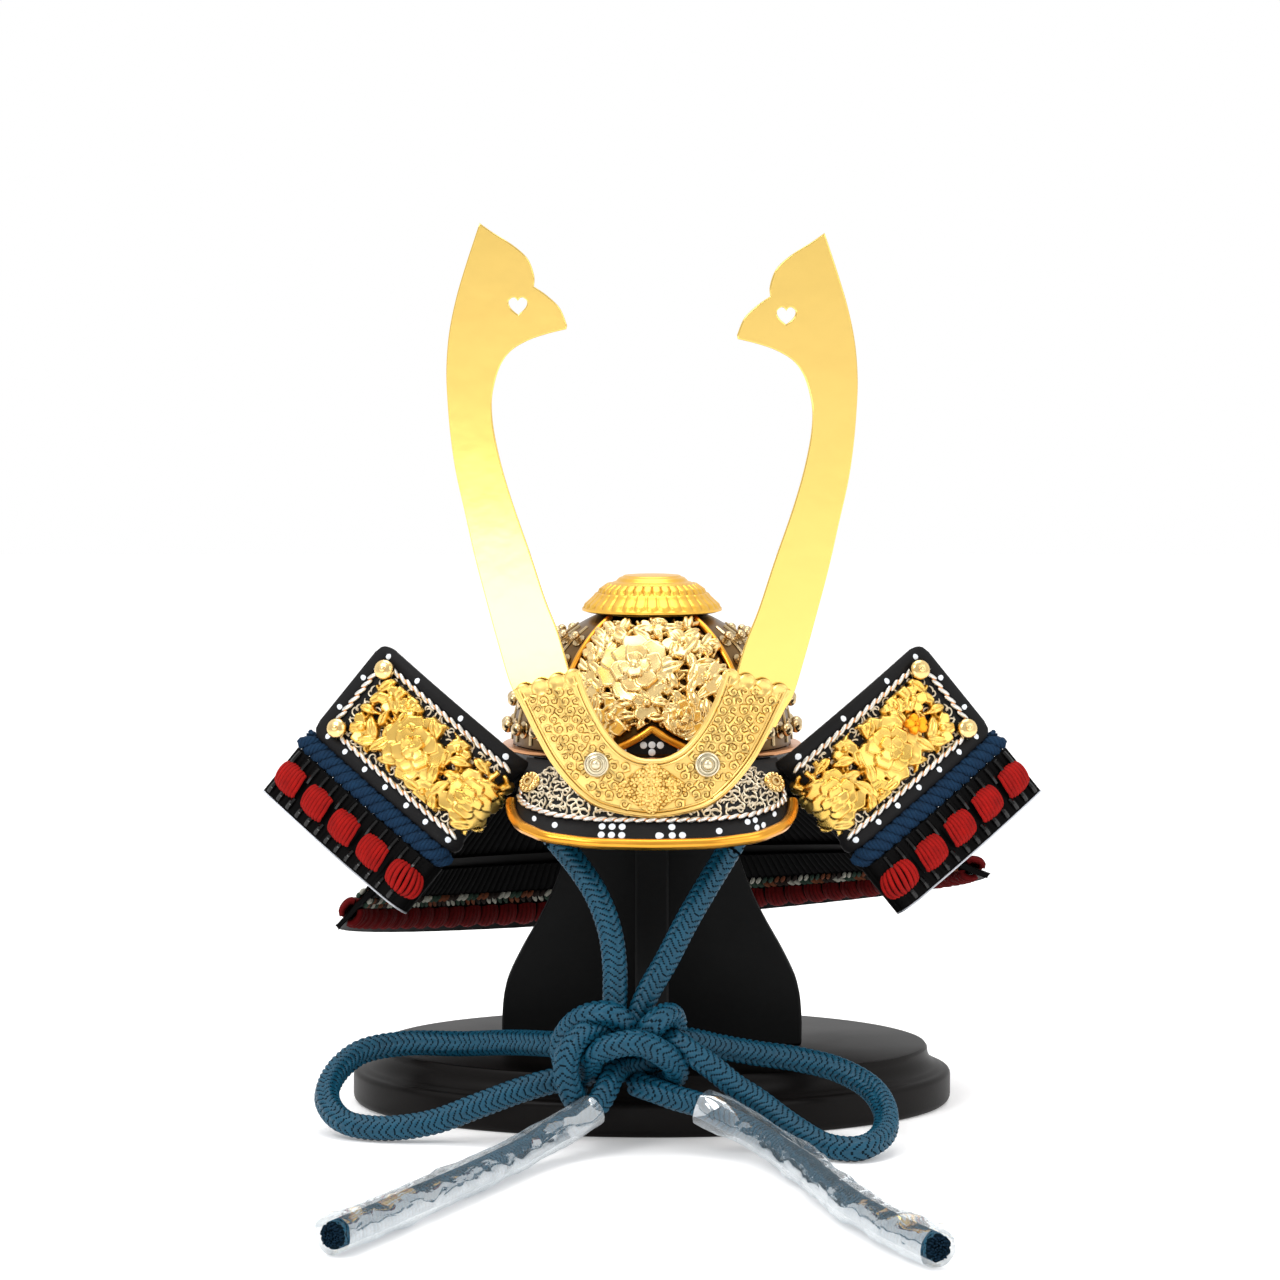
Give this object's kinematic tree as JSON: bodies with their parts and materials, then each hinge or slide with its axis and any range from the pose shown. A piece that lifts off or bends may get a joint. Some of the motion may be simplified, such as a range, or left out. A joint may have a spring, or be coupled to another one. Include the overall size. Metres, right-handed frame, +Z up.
{
  "type": "kabuto samurai helmet on display stand",
  "caption": "Miniature samurai helmet with riveted bowl, gold horn blades, laced neck guard and bow-tied chin cord on a black board stand.",
  "frame": {"origin": "centre of the stand base's underside", "axes": "+Z up, helmet faces -Y, +X to the right when seen from the front"},
  "size_m": [0.2474, 0.3529, 0.284],
  "materials": {
    "base_lacquer": "satin black-brown lacquer on moulded wood",
    "board": "matte black painted board",
    "bronze": "aged bronze leaf on the riveted bowl",
    "lacquer": "black gloss lacquer",
    "pale_gold": "bright pale gold plate",
    "rich_gold": "satin deep gold plate",
    "silver": "twisted silver wire",
    "leather": "black printed leather",
    "red_yarn": "red yarn",
    "navy_rope": "navy twisted rope",
    "braid_yarn": "white, green, orange and brown flat braid",
    "black_lace": "black woven lacing",
    "teal_cord": "teal braided round cord",
    "clear_film": "thin clear film"
  },
  "bodies": {
    "root": {"stand_base": "base_lacquer", "stand_board_front": "board", "stand_board_side": "board", "bowl": "bronze", "waist_band": "lacquer", "top_finial": "rich_gold", "front_openwork": "pale_gold", "openwork_border": "rich_gold", "openwork_rib_left": "rich_gold", "visor_rosette_left": "pale_gold", "crest_stud_left": "pale_gold", "openwork_rib_right": "rich_gold", "visor_rosette_right": "pale_gold", "crest_stud_right": "pale_gold", "visor": "leather", "visor_rim": "rich_gold", "visor_piping": "silver", "crest_base": "rich_gold", "crest_blade_left": "pale_gold", "crest_blade_right": "pale_gold", "turnback_plate_right": "leather", "turnback_plate_left": "leather", "turnback_piping_right": "silver", "turnback_piping_left": "silver", "turnback_openwork_right": "pale_gold", "turnback_openwork_left": "pale_gold", "turnback_knob_lower_right": "pale_gold", "turnback_knob_lower_left": "pale_gold", "turnback_knob_upper_right": "pale_gold", "turnback_knob_upper_left": "pale_gold", "turnback_rope_right": "navy_rope", "turnback_rope_left": "navy_rope", "turnback_lame_right": "lacquer", "turnback_lame_left": "lacquer", "turnback_red_lacing_right": "red_yarn", "turnback_red_lacing_left": "red_yarn", "neck_lame_1": "lacquer", "neck_lame_2": "lacquer", "neck_lame_3": "lacquer", "neck_lacing_1": "black_lace", "neck_lacing_2": "black_lace", "neck_lacing_3": "black_lace", "neck_braid": "braid_yarn", "neck_red_lacing": "red_yarn", "cord_neck": "teal_cord", "cord_drop_left": "teal_cord", "cord_drop_right": "teal_cord", "cord_knot": "teal_cord", "cord_loop_left": "teal_cord", "cord_loop_right": "teal_cord", "cord_tail_left": "teal_cord", "cord_tail_right": "teal_cord", "film_sleeve_left": "clear_film", "film_sleeve_right": "clear_film"}
  },
  "joints": []
}
